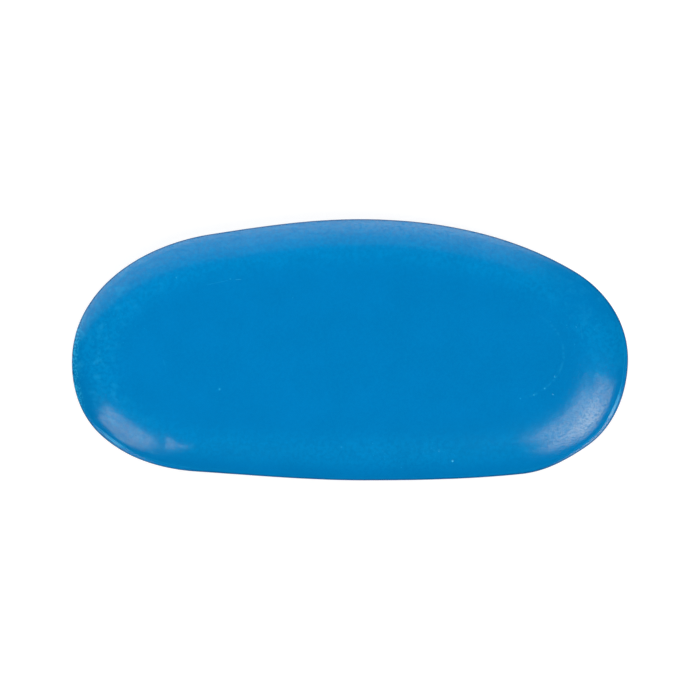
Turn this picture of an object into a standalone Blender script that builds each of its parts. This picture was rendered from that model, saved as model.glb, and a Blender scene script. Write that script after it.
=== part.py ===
"""A potter's rubber rib, built as one moulded blank of flexible rubber.

The rib is drawn the way its mould is cut. A closed curve through ten knots gives the outline, and a
section gives the way from the parting over the rim, the leaning flank and the low crown to the flat
panel. Near two places the rim still has the rounded lip of the mould, and elsewhere the lip was
trimmed off, so the section changes from one form to the other along the outline. The upper half is
the loft of that section, and the lower half mirrors it.

Metres, +Z up. The rib lies on its lower panel at Z = 0, with its length along X.
"""
import math
from collections import namedtuple

import bmesh
import bpy
from mathutils import Vector
from mathutils.geometry import interpolate_bezier

MM = 0.001

# The blank
LENGTH = 133 * MM
WIDTH = 62.5 * MM
THICKNESS = 9.5 * MM

# The rounded lip at the parting, and the curve of the flank that rises from it
LIP_THICKNESS = 1.9 * MM
LIP_WIDTH = 1.1 * MM
FLANK_ANGLE = math.radians(38)
FLANK_HANDLE = 2 * MM

# The narrow edge where the lip was trimmed off, and the curve of its longer flank
TRIM_THICKNESS = 0.6 * MM
TRIM_WIDTH = 0.1 * MM
TRIM_ANGLE = math.radians(44)
TRIM_HANDLE = 3.2 * MM

# The flat panels, how far they lie inside the ends and the long sides, and the curve into them
PANEL_END_INSET = 16.5 * MM
PANEL_SIDE_INSET = 16.5 * MM
CROWN_HANDLE = 9 * MM

# Steps of the loft
OUTLINE_STEP = 2.8 * MM
LIP_STEPS = 4
CROWN_STEPS = 12
SHARP_ANGLE = math.radians(40)

# The sides of the rib's box, seen from above
RIGHT, LEFT = LENGTH / 2, -LENGTH / 2
FAR, NEAR = WIDTH / 2, -WIDTH / 2

# The outline, anticlockwise from the right-hand end. A heading is in degrees from +X.
Knot = namedtuple("Knot", "x y heading")
OUTLINE = (
    Knot(RIGHT, -2.1 * MM, 90),
    Knot(RIGHT - 12.8 * MM, FAR - 12.5 * MM, 149.3),
    Knot(2.4 * MM, FAR, 180),
    Knot(LEFT + 32.7 * MM, FAR - 3.7 * MM, 189.1),
    Knot(LEFT, -3.0 * MM, 270),
    Knot(LEFT + 6.9 * MM, NEAR + 10.9 * MM, 317.2),
    Knot(LEFT + 29.9 * MM, NEAR + 2.1 * MM, 356.3),
    Knot(3.6 * MM, NEAR, 360),
    Knot(RIGHT - 25.2 * MM, NEAR + 1.55 * MM, 366),
    Knot(RIGHT - 10.1 * MM, NEAR + 8.0 * MM, 394),
)

# The places where the lip is whole. From each it fades to the trimmed edge over its reach.
Stretch = namedtuple("Stretch", "x y reach")
WHOLE_STRETCHES = (
    Stretch(RIGHT - 2.5 * MM, -13.5 * MM, 22 * MM),
    Stretch(LEFT + 12.5 * MM, NEAR + 6.75 * MM, 22 * MM),
)

RUBBER_COLOUR = (0.002, 0.213, 0.531, 1.0)
RUBBER_ROUGHNESS = 0.45


def clear_scene():
    """Removes what the scene holds, such as Blender's default cube."""
    for item in list(bpy.data.objects):
        bpy.data.objects.remove(item, do_unlink=True)


def direction(angle):
    """A unit vector in the plane of the outline or of the section."""
    return Vector((math.cos(angle), math.sin(angle)))


def span(start, end):
    """Points of the outline from one knot up to the next, on a curve close to an arc."""
    first, last = Vector((start.x, start.y)), Vector((end.x, end.y))
    chord = (last - first).length
    turn = math.radians((end.heading - start.heading) % 360)
    handle = chord / (3 * math.cos(turn / 4) ** 2)
    leaving = first + direction(math.radians(start.heading)) * handle
    arriving = last - direction(math.radians(end.heading)) * handle
    steps = max(2, round(chord / OUTLINE_STEP))
    return interpolate_bezier(first, leaving, arriving, last, steps + 1)[:-1]


def outline_points():
    """The whole outline, anticlockwise."""
    points = []
    for start, end in zip(OUTLINE, OUTLINE[1:] + OUTLINE[:1]):
        points += span(start, end)
    return points


def inward_normals(outline):
    """The direction into the rib at each point of the outline."""
    normals = []
    for before, after in zip(outline[-1:] + outline[:-1], outline[1:] + outline[:1]):
        heading = (after - before).normalized()
        normals.append(Vector((-heading.y, heading.x)))
    return normals


def lip_points(foot):
    """The lip's section, a quarter round from the parting up to just short of the flank's foot."""
    quarter_turn = math.pi / 2
    points = []
    for step in range(LIP_STEPS):
        turn = quarter_turn * step / LIP_STEPS
        points.append(Vector((foot.x * (1 - math.cos(turn)), foot.y * math.sin(turn))))
    return points


def crown_points(foot, leaving):
    """The crown's section, from the foot of the flank to the panel's edge."""
    panel_edge = Vector((PANEL_SIDE_INSET, THICKNESS / 2))
    arriving = panel_edge - Vector((CROWN_HANDLE, 0))
    return interpolate_bezier(foot, leaving, arriving, panel_edge, CROWN_STEPS + 1)


def section(lip_width, lip_thickness, flank_angle, flank_handle):
    """A section of the upper half: how far in from the outline, and how far above the parting."""
    foot = Vector((lip_width, lip_thickness / 2))
    return lip_points(foot) + crown_points(foot, foot + direction(flank_angle) * flank_handle)


def smoothstep(part):
    """A smooth step that rises from 0 at 0 and stays at 1 from 1 on."""
    part = min(part, 1)
    return part * part * (3 - 2 * part)


def wholeness(point):
    """How whole the lip is at a point of the outline, from 0 to 1."""
    missing = 1
    for stretch in WHOLE_STRETCHES:
        distance = (point - Vector((stretch.x, stretch.y))).length
        missing = min(missing, smoothstep(distance / stretch.reach))
    return 1 - missing


def ring(outline, normals, trimmed, whole):
    """One ring of the loft, through points between those of the two sections. Near the rim it runs
    parallel to the outline, and near the middle it takes the shape of the panel's edge, which is the
    outline drawn in by the panel's insets."""
    panel_length = (LENGTH - 2 * PANEL_END_INSET) / LENGTH
    panel_width = (WIDTH - 2 * PANEL_SIDE_INSET) / WIDTH
    points = []
    for point, normal in zip(outline, normals):
        inset, height = trimmed.lerp(whole, wholeness(point))
        part = inset / PANEL_SIDE_INSET
        panel_edge = Vector((point.x * panel_length, point.y * panel_width))
        parallel = point + normal * inset
        drawn_in = point.lerp(panel_edge, part)
        points.append(parallel.lerp(drawn_in, part).to_3d() + Vector((0, 0, height)))
    return points


def skin(form, rings):
    """Joins each ring to the next with a band of faces, and closes the last with the flat panel."""
    loops = [[form.verts.new(point) for point in ring_points] for ring_points in rings]
    for lower, upper in zip(loops, loops[1:]):
        for corners in zip(lower, lower[1:] + lower[:1], upper[1:] + upper[:1], upper):
            form.faces.new(corners)
    form.faces.new(loops[-1])


def rubber():
    """The blue rubber, with a satin surface."""
    material = bpy.data.materials.new("Blue rubber")
    material.use_nodes = True
    shader = material.node_tree.nodes["Principled BSDF"]
    shader.inputs["Base Color"].default_value = RUBBER_COLOUR
    shader.inputs["Roughness"].default_value = RUBBER_ROUGHNESS
    shader.inputs["Metallic"].default_value = 0.0
    material.diffuse_color = RUBBER_COLOUR
    return material


def rib_body(collection):
    """The blank: its upper half as a loft, mirrored at the parting plane."""
    outline = outline_points()
    normals = inward_normals(outline)
    form = bmesh.new()
    trimmed = section(TRIM_WIDTH, TRIM_THICKNESS, TRIM_ANGLE, TRIM_HANDLE)
    whole = section(LIP_WIDTH, LIP_THICKNESS, FLANK_ANGLE, FLANK_HANDLE)
    skin(form, [ring(outline, normals, *points) for points in zip(trimmed, whole)])
    mesh = bpy.data.meshes.new("rib_body")
    form.to_mesh(mesh)
    form.free()
    mesh.shade_smooth()
    mesh.set_sharp_from_angle(angle=SHARP_ANGLE)
    mesh.materials.append(rubber())

    body = bpy.data.objects.new("rib_body", mesh)
    body.location.z = THICKNESS / 2
    collection.objects.link(body)
    mirror = body.modifiers.new("Lower half", "MIRROR")
    mirror.use_axis = (False, False, True)
    mirror.use_clip = True
    mirror.merge_threshold = 0.01 * MM
    return body


def main():
    clear_scene()
    collection = bpy.data.collections.new("Rubber rib")
    bpy.context.scene.collection.children.link(collection)
    rib_body(collection)


main()
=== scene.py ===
"""Looks of the rubber rib: its moulded surface, its blue rubber and a plain studio round it.

The CAD blank gives the size. This script lofts nearly the same section round the same outline with
a much finer mesh, adds the relief that the mould and use have left, and shades it.
"""

import math
from collections import namedtuple

import bmesh
import bpy
import numpy as np
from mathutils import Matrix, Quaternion, Vector, kdtree, noise


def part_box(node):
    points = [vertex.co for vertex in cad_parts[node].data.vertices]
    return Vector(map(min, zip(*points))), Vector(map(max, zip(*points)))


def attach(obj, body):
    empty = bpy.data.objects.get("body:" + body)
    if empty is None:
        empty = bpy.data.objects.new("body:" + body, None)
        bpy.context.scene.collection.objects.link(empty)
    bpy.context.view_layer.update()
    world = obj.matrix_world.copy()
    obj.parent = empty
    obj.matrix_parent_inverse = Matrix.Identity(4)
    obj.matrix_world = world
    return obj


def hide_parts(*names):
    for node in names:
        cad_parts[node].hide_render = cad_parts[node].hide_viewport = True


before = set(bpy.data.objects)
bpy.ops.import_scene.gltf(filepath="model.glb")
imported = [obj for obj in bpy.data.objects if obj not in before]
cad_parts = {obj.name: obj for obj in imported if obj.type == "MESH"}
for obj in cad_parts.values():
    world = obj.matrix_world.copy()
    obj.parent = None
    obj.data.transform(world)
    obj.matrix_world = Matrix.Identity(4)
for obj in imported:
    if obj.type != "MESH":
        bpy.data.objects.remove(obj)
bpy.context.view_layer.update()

MM = 0.001

# The rib's box, from the frame
LOW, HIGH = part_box("rib_body")
LENGTH, WIDTH, THICKNESS = HIGH - LOW
RIGHT, FAR = HIGH.x, HIGH.y
LEFT, NEAR = LOW.x, LOW.y
PARTING = (LOW.z + HIGH.z) / 2

# The section, close to the CAD blank's. Where the moulded lip is whole it is rounded, and where it
# was trimmed off a narrow edge is left, with a longer flank.
PANEL_INSET = 16.5 * MM
CROWN_HANDLE = 9 * MM
Rim = namedtuple("Rim", "thickness width flank_angle flank_handle")
WHOLE_RIM = Rim(1.9 * MM, 1.1 * MM, math.radians(38), 2.0 * MM)
TRIMMED_RIM = Rim(0.6 * MM, 0.1 * MM, math.radians(44), 3.2 * MM)

# Where the lip, or a share of it, is left. From each place it fades to the trimmed edge over its
# reach.
Stretch = namedtuple("Stretch", "x y reach share")
LIP_STRETCHES = (
    Stretch(64 * MM, -13.5 * MM, 15 * MM, 1.0),
    Stretch(60 * MM, -12 * MM, 40 * MM, 0.6),
    Stretch(-57 * MM, -22.5 * MM, 13 * MM, 1.0),
    Stretch(-52 * MM, -24 * MM, 36 * MM, 0.6),
)

# The outline, as the CAD blank has it, anticlockwise from the right-hand end. A heading is in
# degrees from +X. The first five knots run over the far side to the left-hand end.
Knot = namedtuple("Knot", "x y heading")
OUTLINE = (
    Knot(RIGHT, -2.1 * MM, 90),
    Knot(RIGHT - 12.8 * MM, FAR - 12.5 * MM, 149.3),
    Knot(2.4 * MM, FAR, 180),
    Knot(LEFT + 32.7 * MM, FAR - 3.7 * MM, 189.1),
    Knot(LEFT, -3.0 * MM, 270),
    Knot(LEFT + 6.9 * MM, NEAR + 10.9 * MM, 317.2),
    Knot(LEFT + 29.9 * MM, NEAR + 2.1 * MM, 356.3),
    Knot(3.6 * MM, NEAR, 360),
    Knot(RIGHT - 25.2 * MM, NEAR + 1.55 * MM, 366),
    Knot(RIGHT - 10.1 * MM, NEAR + 8.0 * MM, 394),
)
LEFT_END = 4

# Steps of the fine loft
SIDE_STEPS = 220
SPAN_STEPS = 60
LIP_STEPS = 12
CROWN_STEPS = 36
PANEL_STEPS = 14

# Relief of the crown and of the rim: how far it goes in, and how long its waves are. The heights
# above and below the parting over which the waves of the crown end, and those of the rim.
CROWN_WAVES = ((0.045 * MM, 15 * MM), (0.012 * MM, 5 * MM))
RIM_WAVES = ((0.03 * MM, 6 * MM), (0.02 * MM, 2.2 * MM))
CROWN_WAVES_END = (4.2 * MM, 4.75 * MM)
RIM_WAVES_END = (0.5 * MM, 1.0 * MM)

# The oval line that the edge of the mould's insert has left round the right-hand end. It fades in
# and out over the turns given, in radians, and is broken into dots with a wandering spacing.
INSERT_CENTRE = (37.5 * MM, -1.0 * MM)
INSERT_RADII = (13.4 * MM, 11.0 * MM)
INSERT_FROM, INSERT_TO = math.radians(-78), math.radians(68)
INSERT_FADE_IN, INSERT_FADE_OUT = 0.3, 0.5
INSERT_DEPTH = 0.015 * MM
INSERT_WIDTH = 0.42 * MM
INSERT_DOTS = 37
DOTS_WANDER, DOTS_WANDER_BY = 11, 3

# Pimples and pits of the moulding: place, radius, and height, which is negative for a pit
Speck = namedtuple("Speck", "x y radius height")
SPECKS = (
    # Wholly pale by its height: a painted glint on this pimple.
    Speck(24.4 * MM, -26.6 * MM, 0.30 * MM, 0.14 * MM),
    Speck(12.2 * MM, -28.1 * MM, 0.18 * MM, 0.05 * MM),
    Speck(-2.1 * MM, -23.2 * MM, 0.24 * MM, 0.05 * MM),
    Speck(5.4 * MM, -22.3 * MM, 0.20 * MM, 0.05 * MM),
    Speck(-31.0 * MM, -9.4 * MM, 0.36 * MM, -0.07 * MM),
    Speck(-13.6 * MM, 12.4 * MM, 0.22 * MM, -0.04 * MM),
    Speck(-41.4 * MM, 17.1 * MM, 0.24 * MM, 0.055 * MM),
    Speck(-28.5 * MM, 16.8 * MM, 0.24 * MM, 0.06 * MM),
    Speck(43.8 * MM, -10.8 * MM, 0.28 * MM, -0.07 * MM),
    Speck(40.6 * MM, -11.6 * MM, 0.24 * MM, -0.06 * MM),
    Speck(48.4 * MM, -10.7 * MM, 0.24 * MM, -0.05 * MM),
    Speck(46.4 * MM, -9.2 * MM, 0.30 * MM, -0.06 * MM),
    Speck(48.8 * MM, -6.5 * MM, 0.26 * MM, -0.06 * MM),
)

# Patches of finer specks: middle, spread, how many
Patch = namedtuple("Patch", "x y spread count")
PATCHES = (
    Patch(8.0 * MM, -24.4 * MM, 1.8 * MM, 14),
    Patch(20.2 * MM, -23.8 * MM, 1.4 * MM, 10),
    Patch(-57.0 * MM, 8.0 * MM, 3.6 * MM, 26),
    Patch(-62.0 * MM, -3.0 * MM, 2.4 * MM, 16),
    Patch(54.5 * MM, 6.0 * MM, 2.6 * MM, 14),
)
FINE_RADIUS = (0.12 * MM, 0.20 * MM)
FINE_HEIGHT = 0.028 * MM
FINE_HEIGHT_SHARES = (0.5, 1.3)
SEED = 7

# Fine scratches, each from one point to another, and shallow dents
Scratch = namedtuple("Scratch", "start end width depth")
SCRATCHES = (
    Scratch((-27.2 * MM, 16.7 * MM), (-25.9 * MM, 16.8 * MM), 0.14 * MM, 0.040 * MM),
    Scratch((-33.9 * MM, 15.5 * MM), (-29.1 * MM, 16.5 * MM), 0.14 * MM, 0.018 * MM),
    Scratch((55.0 * MM, 6.1 * MM), (55.3 * MM, 2.7 * MM), 0.20 * MM, 0.012 * MM),
    Scratch((-44.4 * MM, -2.4 * MM), (-44.0 * MM, -3.6 * MM), 0.14 * MM, 0.02 * MM),
)
Dent = namedtuple("Dent", "x y heading length width depth")  # a raised place has a depth below 0
DENTS = (
    Dent(-54.2 * MM, -21.2 * MM, -28, 2.6 * MM, 0.8 * MM, 0.045 * MM),
    Dent(-43.9 * MM, -22.0 * MM, -62, 2.8 * MM, 2.1 * MM, 0.08 * MM),
    Dent(-36.8 * MM, -22.8 * MM, -75, 3.2 * MM, 5.2 * MM, -0.16 * MM),
    Dent(-50.6 * MM, -20.2 * MM, -20, 1.8 * MM, 0.6 * MM, 0.04 * MM),
)

# Where the mesh is halved, and halved again, round the marks
REFINE_WITHIN = (1.1 * MM, 0.8 * MM, 0.5 * MM)
INSERT_POINTS, SCRATCH_POINTS = 200, 20

# Paleness. A mark of the depth given is wholly pale. A painted highlight lies on the top of the lip,
# where it is whole: it sets in and ends over the heights given, above and below the parting.
MARK_PALE_DEPTH = 0.12 * MM
LIP_PAINTED_HIGHLIGHT = 0.45
LIP_HIGHLIGHT_SETS_IN = (0.80 * MM, 0.88 * MM)
LIP_HIGHLIGHT_ENDS = (0.94 * MM, 1.0 * MM)

# The rubber: red, green and blue. The panels and the crown are each mottled with two tones. The
# crown's tones are paler than the panel's: painted light, where the crown tilts towards the lamps.
PANEL_DARK, PANEL_LIGHT = (0.0003, 0.203, 0.527), (0.0003, 0.215, 0.539)
PAINTED_LIT_CROWN_DARK, PAINTED_LIT_CROWN_LIGHT = (0.0003, 0.212, 0.537), (0.0003, 0.252, 0.595)
# Painted shade: the dark colour of the thin edge at the parting, where the surface turns under.
PAINTED_EDGE_SHADE = (0.0005, 0.125, 0.335)
# Pale colour of bloom, chafing and marks, and also a painted highlight on the lip's top and a painted
# glint on the largest pimple.
PALE_AND_GLINT_COLOUR = (0.026, 0.500, 0.870)
# Painted light: the colour is a little lighter towards the left-hand end and darker towards the
# right.
FADE_LEFT, FADE_RIGHT = 1.02, 0.98
CLOUD_LEVELS = (0.98, 1.02)

# The noise behind each kind of patch. A patch sets in where the noise passes the first level, and
# is full from the second on.
Grain = namedtuple("Grain", "size detail sets_in full")
CLOUDS = Grain(9 * MM, 2, 0.3, 0.7)
MOTTLE = Grain(0.85 * MM, 2, 0.3, 0.7)
BLOOM = Grain(2.2 * MM, 5, 0.50, 0.72)
CHAFING = Grain(0.5 * MM, 2, 0.45, 0.60)
PINPRICKS = Grain(0.45 * MM, 2, 0.48, 0.62)

# Heights above and below the parting, over which the dark edge's painted shade and the crown's
# looks, its painted light among them, end
EDGE_ENDS = (0.38 * MM, 0.58 * MM)
CROWN_ENDS = (3.9 * MM, 4.7 * MM)

# Where the crown's painted light is left out and it keeps the panel's darker tones, as painted
# shade: its far side at the right-hand end, and low on the near flank
FAR_RIGHT_ALONG = (RIGHT - 22 * MM, RIGHT - 12 * MM)
FAR_RIGHT_ACROSS = (4 * MM, 10 * MM)
NEAR_FLANK_ENDS = (1.6 * MM, 3.4 * MM)
NEAR_FLANK_ACROSS = (-8 * MM, 0.0)

# Pale bloom on the crown towards both ends, and chafing low on the left-hand end
LEFT_BLOOM_ENDS, LEFT_BLOOM = (LEFT + 12 * MM, LEFT + 28 * MM), 0.18
RIGHT_BLOOM_SETS_IN, RIGHT_BLOOM = (RIGHT - 28 * MM, RIGHT - 12 * MM), 0.08
CHAFING_ENDS_ALONG, CHAFED = (LEFT + 1.5 * MM, LEFT + 4 * MM), 0.60
CHAFING_ENDS_UP = (1.1 * MM, 1.5 * MM)

# The gloss. In the pinpricks it is darker and duller, and they are dullest on the crown. In the
# bump the pinpricks are pits, whose share of the skin's depth is given.
GLOSS_LIGHT, GLOSS_DARK = (1.0, 0.84, 0.55), (0.36, 0.30, 0.20)
IOR = 1.565
GLOSS_ROUGHNESS = 0.12
DULL_ROUGHNESS = 0.18
CROWN_DULLNESS, PANEL_DULLNESS = 0.9, 0.15
PIT_SHARE = 0.35
SKIN_DEPTH = 0.022 * MM

# The studio. Each lamp's direction is seen from the rib. Width and height are in metres, and the
# radiance is that of its face, where white paper in full light has 1.
LAMP_DISTANCE = 1.5
Lamp = namedtuple("Lamp", "name azimuth elevation roll width height radiance in_gloss")
LAMPS = (
    Lamp("key_high", -40.4, 50.4, 4.9, 0.533, 0.864, 3.10, True),
    Lamp("key_low", -37.2, 41.2, -76.7, 0.718, 0.919, 2.72, True),
    Lamp("fill", -130.0, 41.9, -0.1, 0.646, 0.717, 2.39, True),
    Lamp("back", 115.2, 8.6, -17.4, 3.292, 1.803, 0.44, True),
    Lamp("back_tall", 110.3, 9.1, -17.6, 3.312, 2.871, 0.37, True),
    Lamp("edge", 72.0, 8.6, 137.5, 0.508, 1.814, 0.68, True),
    Lamp("rim", 124.2, 5.6, -8.5, 4.138, 0.635, 0.97, True),
    Lamp("soft_far", 110.0, 45.0, 0.0, 1.200, 1.200, 2.78, False),
    Lamp("soft_near", -70.0, 30.0, 0.0, 1.200, 1.200, 2.02, False),
)
FLOOR_HALF = 3.0
FLOOR_CLEARANCE = 0.05 * MM
FLOOR_TONE = 0.35
FLOOR_ROUGHNESS = 0.9
FLOOR_GLOW = 0.80

# The camera looks straight down. The view's middle and its width are those at the parting.
VIEW_MIDDLE = (0.024 * MM, -0.06 * MM)
VIEW_WIDTH = 167.33 * MM
CAMERA_HEIGHT = 1.1
SENSOR_WIDTH = 36.0


def cubic(start, leaving, arriving, end, steps):
    """Points of a cubic curve, both ends included."""
    t = np.linspace(0, 1, steps + 1)[:, None]
    back = 1 - t
    return back**3 * start + 3 * back**2 * t * leaving + 3 * back * t**2 * arriving + t**3 * end


def direction(angle):
    """A unit vector in the plane of the outline or of the section."""
    return np.array((math.cos(angle), math.sin(angle)))


def span(start, end):
    """Points of the outline from one knot up to the next, on a curve close to an arc."""
    first, last = np.array((start.x, start.y)), np.array((end.x, end.y))
    turn = math.radians((end.heading - start.heading) % 360)
    handle = np.linalg.norm(last - first) / (3 * math.cos(turn / 4) ** 2)
    leaving = first + direction(math.radians(start.heading)) * handle
    arriving = last - direction(math.radians(end.heading)) * handle
    return cubic(first, leaving, arriving, last, SPAN_STEPS)[:-1]


def even_side(knots):
    """One side of the outline in even steps, without its last point."""
    spans = [span(start, end) for start, end in zip(knots, knots[1:])]
    points = np.concatenate(spans + [[(knots[-1].x, knots[-1].y)]])
    walked = np.insert(np.cumsum(np.linalg.norm(np.diff(points, axis=0), axis=1)), 0, 0)
    even = np.linspace(0, walked[-1], SIDE_STEPS + 1)[:-1]
    return np.column_stack([np.interp(even, walked, axis) for axis in points.T])


def outline_points():
    """The whole outline, anticlockwise, with as many steps over the far side as over the near one."""
    far_side = OUTLINE[:LEFT_END + 1]
    near_side = OUTLINE[LEFT_END:] + OUTLINE[:1]
    return np.concatenate((even_side(far_side), even_side(near_side)))


def inward_normals(outline):
    """The direction into the rib at each point of the outline."""
    heading = np.roll(outline, -1, axis=0) - np.roll(outline, 1, axis=0)
    heading /= np.linalg.norm(heading, axis=1)[:, None]
    return np.stack((-heading[:, 1], heading[:, 0]), axis=1)


def section_points(rim):
    """The upper half's section, from the parting up: inset from the outline, and height."""
    turn = np.linspace(0, math.pi / 2, LIP_STEPS + 1)[:-1]
    lip = np.stack((rim.width * (1 - np.cos(turn)), rim.thickness / 2 * np.sin(turn)), axis=1)
    foot = np.array((rim.width, rim.thickness / 2))
    panel_edge = np.array((PANEL_INSET, THICKNESS / 2))
    leaving = foot + direction(rim.flank_angle) * rim.flank_handle
    arriving = panel_edge - np.array((CROWN_HANDLE, 0))
    return np.concatenate((lip, cubic(foot, leaving, arriving, panel_edge, CROWN_STEPS)))


def wholeness(outline):
    """How whole the lip is at each point of the outline, from 0 to 1."""
    whole = np.zeros((len(outline), 1))
    for stretch in LIP_STRETCHES:
        distance = np.hypot(outline[:, :1] - stretch.x, outline[:, 1:] - stretch.y)
        whole = np.maximum(whole, stretch.share * (1 - step_between(distance, 0, stretch.reach)))
    return whole


def upper_rings():
    """The rings of the upper half. Those of the panel are drawn in to a slit along its spine."""
    outline = outline_points()
    inward = inward_normals(outline)
    whole = wholeness(outline)
    panel = np.array((LENGTH - 2 * PANEL_INSET, WIDTH - 2 * PANEL_INSET))
    panel_edge = outline * panel / np.array((LENGTH, WIDTH))
    rings = []
    for trimmed, with_lip in zip(section_points(TRIMMED_RIM), section_points(WHOLE_RIM)):
        inset = trimmed[0] + (with_lip[0] - trimmed[0]) * whole
        height = trimmed[1] + (with_lip[1] - trimmed[1]) * whole
        part = inset / PANEL_INSET
        parallel = outline + inward * inset
        drawn_in = outline + (panel_edge - outline) * part
        flat = parallel + (drawn_in - parallel) * part
        rings.append(np.column_stack((flat, PARTING + height)))
    spine = panel_edge * np.array(((panel[0] - panel[1]) / panel[0], 0))
    for step in range(1, PANEL_STEPS):
        flat = panel_edge + (spine - panel_edge) * step / PANEL_STEPS
        rings.append(np.column_stack((flat, np.full(len(flat), HIGH.z))))
    return rings


def close_slit(form, loop):
    """Closes the last ring with faces from its far side to its near one."""
    half = len(loop) // 2
    form.faces.new((loop[0], loop[1], loop[-1]))
    for i in range(1, half - 1):
        form.faces.new((loop[i], loop[i + 1], loop[-i - 1], loop[-i]))
    form.faces.new((loop[half - 1], loop[half], loop[half + 1]))


def loft():
    """The smooth blank: the upper rings, and the lower ones as their mirror image."""
    upper = upper_rings()
    mirrored = [ring * (1, 1, -1) + (0, 0, 2 * PARTING) for ring in upper[1:]]
    form = bmesh.new()
    loops = [[form.verts.new(point) for point in ring] for ring in mirrored[::-1] + upper]
    for below, above in zip(loops, loops[1:]):
        for corners in zip(below, below[1:] + below[:1], above[1:] + above[:1], above):
            form.faces.new(corners)
    close_slit(form, loops[-1])
    close_slit(form, loops[0][:1] + loops[0][:0:-1])
    return form


def insert_line(count):
    """Points along the insert's line."""
    turns = np.linspace(INSERT_FROM, INSERT_TO, count)
    return np.column_stack((
        INSERT_CENTRE[0] + INSERT_RADII[0] * np.cos(turns),
        INSERT_CENTRE[1] + INSERT_RADII[1] * np.sin(turns),
    ))


def all_specks():
    """The specks that have a place of their own, and those of the patches."""
    random = np.random.default_rng(SEED)
    specks = list(SPECKS)
    for patch in PATCHES:
        for _ in range(patch.count):
            x, y = random.normal((patch.x, patch.y), patch.spread)
            radius = random.uniform(*FINE_RADIUS)
            height = FINE_HEIGHT * random.uniform(*FINE_HEIGHT_SHARES)
            specks.append(Speck(x, y, radius, height))
    return specks


def mark_points(specks):
    """Points on all the marks that need a finer mesh."""
    points = [(speck.x, speck.y) for speck in specks]
    points += insert_line(INSERT_POINTS).tolist()
    for scratch in SCRATCHES:
        points += np.linspace(scratch.start, scratch.end, SCRATCH_POINTS).tolist()
    return points


def refine(form, points):
    """Halves the upper face's mesh round the marks, a few times over."""
    tree = kdtree.KDTree(len(points))
    for index, (x, y) in enumerate(points):
        tree.insert((x, y, 0), index)
    tree.balance()
    for reach in REFINE_WITHIN:
        near = set()
        for face in form.faces:
            middle = face.calc_center_median()
            if middle.z > PARTING and tree.find((middle.x, middle.y, 0))[2] < reach:
                near.update(face.edges)
        edges = [edge for edge in form.edges if edge in near]
        bmesh.ops.subdivide_edges(form, edges=edges, cuts=1, use_grid_fill=True)
    bmesh.ops.triangulate(form, faces=[face for face in form.faces if len(face.verts) > 4])


def step_between(value, low, high):
    """0 below low, 1 above high, and a smooth step between."""
    part = np.clip((value - low) / (high - low), 0, 1)
    return part * part * (3 - 2 * part)


def bell(distance, width):
    """A smooth hump of height 1, which has fallen to a tenth at the width."""
    return np.exp(-2.3 * (distance / width) ** 2)


def waves(places, layers):
    """How far the surface lies in below its highest waves."""
    depth = np.zeros(len(places))
    for amount, length in layers:
        heights = np.array([noise.noise(Vector(place) / length) for place in places])
        depth += amount * (1 + heights) / 2
    return depth


def insert_groove(x, y):
    """Depth of the insert's line, which fades in and out along its way and is broken into dots."""
    along = (x - INSERT_CENTRE[0]) / INSERT_RADII[0]
    across = (y - INSERT_CENTRE[1]) / INSERT_RADII[1]
    turn = np.arctan2(across, along)
    radius = np.hypot(INSERT_RADII[0] * np.cos(turn), INSERT_RADII[1] * np.sin(turn))
    off_line = (np.hypot(along, across) - 1) * radius
    within = step_between(turn, INSERT_FROM, INSERT_FROM + INSERT_FADE_IN)
    within = within * (1 - step_between(turn, INSERT_TO - INSERT_FADE_OUT, INSERT_TO))
    spacing = turn * INSERT_DOTS + DOTS_WANDER_BY * np.sin(turn * DOTS_WANDER)
    dots = 0.5 + 0.5 * np.sin(spacing)
    return INSERT_DEPTH * bell(off_line, INSERT_WIDTH) * within * dots


def scratch_depth(x, y, scratch):
    """Depth of one scratch."""
    start, end = np.array(scratch.start), np.array(scratch.end)
    way = end - start
    along = np.clip(((x - start[0]) * way[0] + (y - start[1]) * way[1]) / (way @ way), 0, 1)
    distance = np.hypot(x - start[0] - along * way[0], y - start[1] - along * way[1])
    return scratch.depth * bell(distance, scratch.width)


def dent_depth(x, y, dent):
    """Depth of one long shallow dent."""
    ahead, aside = direction(math.radians(dent.heading)), direction(math.radians(dent.heading + 90))
    along = (x - dent.x) * ahead[0] + (y - dent.y) * ahead[1]
    across = (x - dent.x) * aside[0] + (y - dent.y) * aside[1]
    return dent.depth * bell(np.hypot(along / dent.length, across / dent.width), 1.0)


def wave_depth(places, rise):
    """Depth of the waves at each place, whose height above or below the parting is given too."""
    crown = 1 - step_between(rise, *CROWN_WAVES_END)
    rim = 1 - step_between(rise, *RIM_WAVES_END)
    return waves(places, CROWN_WAVES) * crown * (1 - rim) + waves(places, RIM_WAVES) * rim


def mark_depth(x, y, specks):
    """Depth of the insert's line, the specks and the scratches."""
    depth = insert_groove(x, y)
    for speck in specks:
        depth -= speck.height * bell(np.hypot(x - speck.x, y - speck.y), speck.radius)
    for scratch in SCRATCHES:
        depth += scratch_depth(x, y, scratch)
    return depth


def painted_lip_highlight(places, rise):
    """Painted highlight: how pale the top of the lip is painted, where the lip is whole."""
    lip_top = step_between(rise, *LIP_HIGHLIGHT_SETS_IN) * (1 - step_between(rise, *LIP_HIGHLIGHT_ENDS))
    return LIP_PAINTED_HIGHLIGHT * lip_top * wholeness(places[:, :2])[:, 0]


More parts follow.
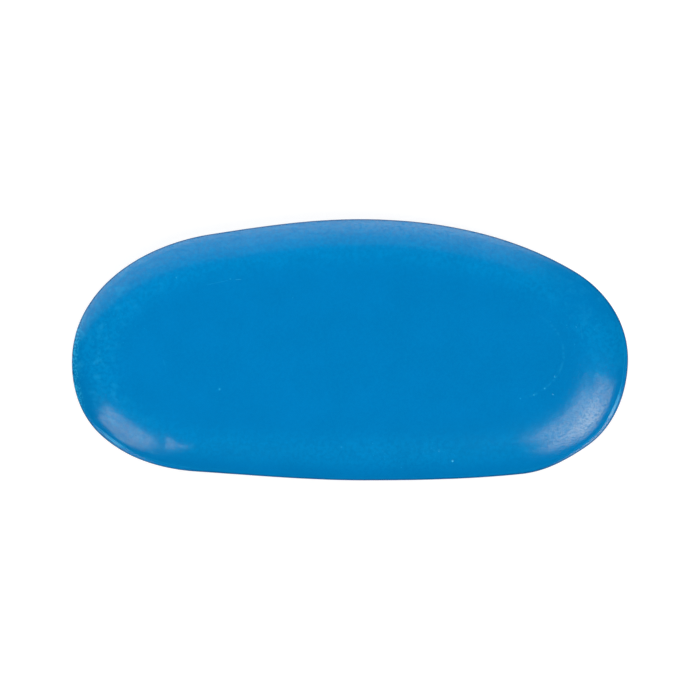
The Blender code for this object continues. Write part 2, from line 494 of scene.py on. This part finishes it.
def relief(form, specks):
    """Moves each vertex along its normal by the depth of the waves, dents and marks at its place,
    keeps it between the panels' planes, and notes how pale it is: marks by their depth, with a
    painted glint on the largest pimple, and a painted highlight on the top of the lip. Dents and
    marks are on the upper half only."""
    form.normal_update()
    places = np.array([vert.co for vert in form.verts])
    normals = np.array([vert.normal for vert in form.verts])
    x, y, z = places.T
    rise = np.abs(z - PARTING)
    depth = wave_depth(places, rise)
    for dent in DENTS:
        depth += dent_depth(x, y, dent) * (z > PARTING)
    marks = mark_depth(x, y, specks) * (z > PARTING)
    # Marks are pale by their depth; the lip's top gets a painted highlight.
    pale = np.abs(marks) / MARK_PALE_DEPTH + painted_lip_highlight(places, rise)
    moved = places - normals * (depth + marks)[:, None]
    moved[:, 2] = np.clip(moved[:, 2], LOW.z, HIGH.z)
    pale_and_highlight_layer = form.verts.layers.float.new("scuff_and_highlight")
    for vert, place, scuff_and_highlight in zip(form.verts, moved, pale):
        vert.co = place
        vert[pale_and_highlight_layer] = scuff_and_highlight


def wire(tree, kind, inputs, output=0, **properties):
    """Adds a node, feeds its inputs with sockets or plain values, and returns one of its outputs."""
    made = tree.nodes.new(kind)
    for name, setting in properties.items():
        setattr(made, name, setting)
    for name, source in inputs.items():
        if isinstance(source, bpy.types.NodeSocket):
            tree.links.new(source, made.inputs[name])
        else:
            made.inputs[name].default_value = source
    return made.outputs[output]


def math_node(tree, operation, first, second=0.0):
    """One step of arithmetic."""
    return wire(tree, "ShaderNodeMath", {0: first, 1: second}, operation=operation)


def ramp(tree, value, low, high, start=0.0, end=1.0):
    """A smooth step from start to end, as the value goes from low to high."""
    inputs = {"Value": value, "From Min": low, "From Max": high, "To Min": start, "To Max": end}
    return wire(tree, "ShaderNodeMapRange", inputs, "Result", interpolation_type="SMOOTHSTEP")


def noise_of(tree, place, grain):
    """Noise from 0 to 1, with grains of the size and detail given."""
    inputs = {"Vector": place, "Scale": 1 / grain.size, "Detail": grain.detail}
    return wire(tree, "ShaderNodeTexNoise", inputs, "Fac")


def patches(tree, place, grain, start=0.0, end=1.0):
    """Patches of the grain given: start between them, and end within them."""
    return ramp(tree, noise_of(tree, place, grain), grain.sets_in, grain.full, start, end)


def mix_colours(tree, factor, first, second):
    """The first colour where the factor is 0, the second where it is 1. Each is a socket or three
    numbers."""
    mix = tree.nodes.new("ShaderNodeMix")
    mix.data_type = "RGBA"
    tree.links.new(factor, mix.inputs["Factor"])
    for socket, colour in ((mix.inputs[6], first), (mix.inputs[7], second)):
        if isinstance(colour, bpy.types.NodeSocket):
            tree.links.new(colour, socket)
        else:
            socket.default_value = (*colour, 1.0)
    return mix.outputs[2]


# Sockets that say where a point of the surface is, and how far it belongs to the crown and the edge
Whereabouts = namedtuple("Whereabouts", "place along across rise crown edge")


def whereabouts(tree):
    """Where the point is: along and across the rib, above or below the parting, on crown or edge."""
    place = wire(tree, "ShaderNodeTexCoord", {}, "Object")
    along = wire(tree, "ShaderNodeSeparateXYZ", {"Vector": place}, "X")
    across = wire(tree, "ShaderNodeSeparateXYZ", {"Vector": place}, "Y")
    height = wire(tree, "ShaderNodeSeparateXYZ", {"Vector": place}, "Z")
    rise = math_node(tree, "ABSOLUTE", math_node(tree, "SUBTRACT", height, PARTING))
    crown = ramp(tree, rise, *CROWN_ENDS, 1.0, 0.0)
    edge = ramp(tree, rise, *EDGE_ENDS, 1.0, 0.0)
    return Whereabouts(place, along, across, rise, crown, edge)


def painted_crown_light(tree, here):
    """How far the crown's paler tones, which are painted light, show. They are left out, as painted
    shade, on the far side at the right-hand end and low on the near flank.
    """
    far_right = ramp(tree, here.along, *FAR_RIGHT_ALONG)
    far_right = math_node(tree, "MULTIPLY", far_right, ramp(tree, here.across, *FAR_RIGHT_ACROSS))
    near_flank = ramp(tree, here.rise, *NEAR_FLANK_ENDS, 1.0, 0.0)
    near_side = ramp(tree, here.across, *NEAR_FLANK_ACROSS, 1.0, 0.0)
    near_flank = math_node(tree, "MULTIPLY", near_flank, near_side)
    plain = math_node(tree, "MAXIMUM", far_right, near_flank)
    return math_node(tree, "MULTIPLY", here.crown, math_node(tree, "SUBTRACT", 1.0, plain))


def colour_with_painted_light(tree, here):
    """The rubber's colour, mottled and faintly clouded, with painted light and shade in it: the crown
    paler than the panel, the left-hand end a little lighter than the right, and the thin edge dark.
    """
    mottle = patches(tree, here.place, MOTTLE)
    panel = mix_colours(tree, mottle, PANEL_DARK, PANEL_LIGHT)
    crown = mix_colours(tree, mottle, PAINTED_LIT_CROWN_DARK, PAINTED_LIT_CROWN_LIGHT)
    # Painted light: the crown's paler tones, left out as painted shade at the far right and on the
    # near flank.
    colour = mix_colours(tree, painted_crown_light(tree, here), panel, crown)
    # Painted shade on the thin edge at the parting.
    colour = mix_colours(tree, here.edge, colour, PAINTED_EDGE_SHADE)
    clouds = patches(tree, here.place, CLOUDS, *CLOUD_LEVELS)
    # Painted light: a little lighter towards the left-hand end, darker towards the right.
    fade = ramp(tree, here.along, LEFT, RIGHT, FADE_LEFT, FADE_RIGHT)
    level = math_node(tree, "MULTIPLY", clouds, fade)
    return wire(tree, "ShaderNodeVectorMath", {0: colour, "Scale": level}, operation="SCALE")


def paleness(tree, here):
    """How pale the surface is from bloom at both ends, chafing at the left-hand one and its marks,
    and from the painted highlight on the lip's top and the painted glint on the largest pimple.
    """
    left = ramp(tree, here.along, *LEFT_BLOOM_ENDS, LEFT_BLOOM, 0.0)
    right = ramp(tree, here.along, *RIGHT_BLOOM_SETS_IN, 0.0, RIGHT_BLOOM)
    bloom = math_node(tree, "MULTIPLY", patches(tree, here.place, BLOOM), here.crown)
    bloom = math_node(tree, "MULTIPLY", bloom, math_node(tree, "ADD", left, right))
    chafed = ramp(tree, here.along, *CHAFING_ENDS_ALONG, CHAFED, 0.0)
    chafed = math_node(tree, "MULTIPLY", chafed, ramp(tree, here.rise, *CHAFING_ENDS_UP, 1.0, 0.0))
    chafing = math_node(tree, "MULTIPLY", patches(tree, here.place, CHAFING), chafed)
    # Pale marks, with the painted highlight on the lip's top and the painted glint on the largest
    # pimple.
    scuff_and_highlight = wire(tree, "ShaderNodeAttribute", {}, "Fac", attribute_name="scuff_and_highlight")
    return math_node(tree, "MAXIMUM", math_node(tree, "MAXIMUM", bloom, chafing), scuff_and_highlight)


def surface_roughness(tree, here, pinpricks):
    """Roughness, which the pinpricks and the thin edge raise."""
    amount = ramp(tree, here.rise, *CROWN_ENDS, CROWN_DULLNESS, PANEL_DULLNESS)
    dull = math_node(tree, "MULTIPLY", pinpricks, amount)
    dull = math_node(tree, "MAXIMUM", dull, here.edge)
    return ramp(tree, dull, 0.0, 1.0, GLOSS_ROUGHNESS, DULL_ROUGHNESS)


def skin_bump(tree, here, pinpricks):
    """The skin's fine unevenness, with the pinpricks as pits in it."""
    pits = math_node(tree, "MULTIPLY", pinpricks, PIT_SHARE)
    height = math_node(tree, "SUBTRACT", noise_of(tree, here.place, PINPRICKS), pits)
    return wire(tree, "ShaderNodeBump", {"Height": height, "Distance": SKIN_DEPTH}, "Normal")


def rubber():
    """Blue rubber with a glossy skin, whose pinpricks break up the gloss."""
    material = bpy.data.materials.new("blue_rubber")
    material.use_nodes = True
    tree = material.node_tree
    shader = tree.nodes["Principled BSDF"]
    here = whereabouts(tree)
    pinpricks = patches(tree, here.place, PINPRICKS)
    shades = {
        # The base colour holds painted light and shade, and painted highlights on the lip's top and
        # the largest pimple.
        "Base Color": mix_colours(tree, paleness(tree, here), colour_with_painted_light(tree, here), PALE_AND_GLINT_COLOUR),
        "Roughness": surface_roughness(tree, here, pinpricks),
        "Specular Tint": mix_colours(tree, pinpricks, GLOSS_LIGHT, GLOSS_DARK),
        "Normal": skin_bump(tree, here, pinpricks),
    }
    for name, source in shades.items():
        tree.links.new(source, shader.inputs[name])
    shader.inputs["IOR"].default_value = IOR
    return material


def make_rib():
    """The rib as one closed mesh, in place of the CAD blank."""
    specks = all_specks()
    form = loft()
    refine(form, mark_points(specks))
    relief(form, specks)
    mesh = bpy.data.meshes.new("rib_surface")
    form.to_mesh(mesh)
    form.free()
    mesh.shade_smooth()
    mesh.materials.append(rubber())
    rib = bpy.data.objects.new("rib_surface", mesh)
    bpy.context.scene.collection.objects.link(rib)
    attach(rib, "root")
    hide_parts("rib_body")


def make_lamp(lamp):
    """A rectangular softbox that faces the rib."""
    azimuth, elevation = math.radians(lamp.azimuth), math.radians(lamp.elevation)
    level = direction(azimuth) * math.cos(elevation)
    away = Vector((*level, math.sin(elevation)))
    data = bpy.data.lights.new(lamp.name, "AREA")
    data.shape = "RECTANGLE"
    data.size = lamp.width
    data.size_y = lamp.height
    data.energy = lamp.radiance * math.pi * lamp.width * lamp.height
    light = bpy.data.objects.new(lamp.name, data)
    light.location = away * LAMP_DISTANCE + Vector((0, 0, PARTING))
    light.rotation_mode = "QUATERNION"
    roll = Quaternion((0, 0, 1), math.radians(lamp.roll))
    light.rotation_quaternion = (-away).to_track_quat("-Z", "Y") @ roll
    light.visible_camera = False
    light.visible_glossy = lamp.in_gloss
    data.cycles.use_multiple_importance_sampling = lamp.in_gloss
    bpy.context.scene.collection.objects.link(light)


def make_world():
    """White to the camera and dark to everything else."""
    world = bpy.data.worlds.new("studio")
    bpy.context.scene.world = world
    world.use_nodes = True
    tree = world.node_tree
    background = tree.nodes["Background"]
    background.inputs["Color"].default_value = (1, 1, 1, 1)
    rays = tree.nodes.new("ShaderNodeLightPath")
    tree.links.new(rays.outputs["Is Camera Ray"], background.inputs["Strength"])


def make_floor():
    """A grey table that the camera sees as white."""
    mesh = bpy.data.meshes.new("floor")
    form = bmesh.new()
    bmesh.ops.create_grid(form, x_segments=1, y_segments=1, size=FLOOR_HALF)
    form.to_mesh(mesh)
    form.free()
    material = bpy.data.materials.new("paper")
    material.use_nodes = True
    tree = material.node_tree
    shader = tree.nodes["Principled BSDF"]
    shader.inputs["Base Color"].default_value = (FLOOR_TONE, FLOOR_TONE, FLOOR_TONE, 1)
    shader.inputs["Roughness"].default_value = FLOOR_ROUGHNESS
    shader.inputs["Specular IOR Level"].default_value = 0.0
    shader.inputs["Emission Color"].default_value = (1, 1, 1, 1)
    rays = tree.nodes.new("ShaderNodeLightPath")
    glow = math_node(tree, "MULTIPLY", rays.outputs["Is Camera Ray"], FLOOR_GLOW)
    tree.links.new(glow, shader.inputs["Emission Strength"])
    mesh.materials.append(material)
    floor = bpy.data.objects.new("floor", mesh)
    floor.location.z = LOW.z - FLOOR_CLEARANCE
    bpy.context.scene.collection.objects.link(floor)


def make_camera():
    """A camera straight above the rib."""
    data = bpy.data.cameras.new("camera")
    data.sensor_width = SENSOR_WIDTH
    data.lens = SENSOR_WIDTH * CAMERA_HEIGHT / VIEW_WIDTH
    camera = bpy.data.objects.new("camera", data)
    camera.location = (*VIEW_MIDDLE, PARTING + CAMERA_HEIGHT)
    bpy.context.scene.collection.objects.link(camera)
    bpy.context.scene.camera = camera
    bpy.context.scene.view_settings.view_transform = "Standard"


make_rib()
for lamp in LAMPS:
    make_lamp(lamp)
make_world()
make_floor()
make_camera()
